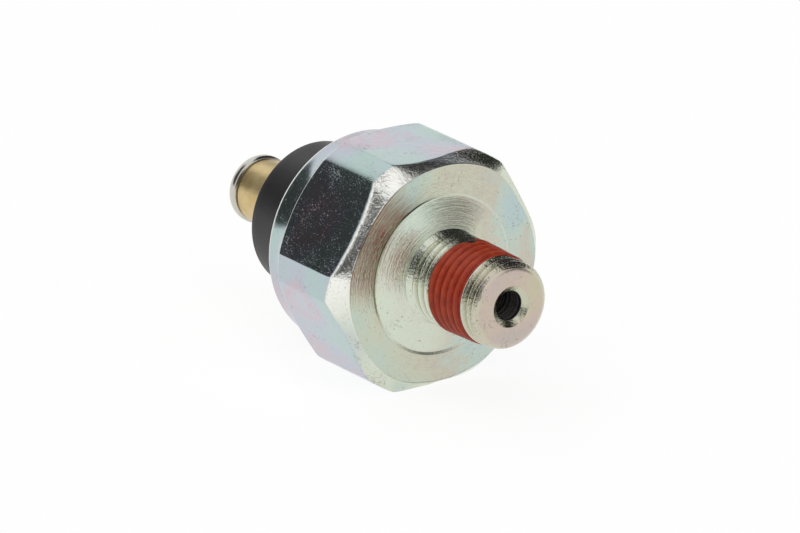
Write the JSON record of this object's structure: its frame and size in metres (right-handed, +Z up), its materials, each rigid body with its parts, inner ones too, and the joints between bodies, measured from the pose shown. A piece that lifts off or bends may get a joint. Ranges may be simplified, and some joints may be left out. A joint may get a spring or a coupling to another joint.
{
  "type": "oil pressure sender",
  "caption": "Screw-in oil pressure sender: a hexagonal steel body with a tapered, sealant-coated port nipple, a black insulator and a brass screw terminal.",
  "frame": {"origin": "on the axis in the plane of the hexagon's front face, where the port nipple leaves it", "axes": "+X along the axis out of the port; +Z up, square to a flat of the hexagon; the part lies on the lower flat"},
  "size_m": [0.0451, 0.0262, 0.024],
  "materials": {
    "zinc_steel": "zinc plated, pale iridescent passivate",
    "thread_sealant": "dried brick-red sealing compound",
    "rubber": "matte nitrile rubber",
    "film": "amber polyimide film",
    "plain_steel": "pressed sheet steel",
    "silver_contact": "silver-plated contact face",
    "phenolic": "brown phenolic moulding",
    "spring_steel": "drawn spring wire",
    "brass": "satin turned brass",
    "black_moulding": "fine-grained matte black moulding"
  },
  "bodies": {
    "housing": {"hex_body": "zinc_steel", "thread_sealant": "thread_sealant", "seal_ring": "rubber", "diaphragm": "film", "contact_plate": "plain_steel", "fixed_contact": "silver_contact", "switch_spring": "spring_steel", "calibration_screw": "brass", "terminal_post": "brass", "insulator": "black_moulding", "cap_gasket": "rubber", "terminal_screw": "zinc_steel"},
    "contact": {"moving_contact": "brass", "plunger": "phenolic"}
  },
  "joints": [
    {"name": "contact_slide", "type": "slide", "parent": "housing", "child": "contact", "axis": [-1, 0, 0], "range_m": [0, 0.0005], "stiffness_N_per_m": 200, "deforming": ["switch_spring", "diaphragm"]}
  ]
}
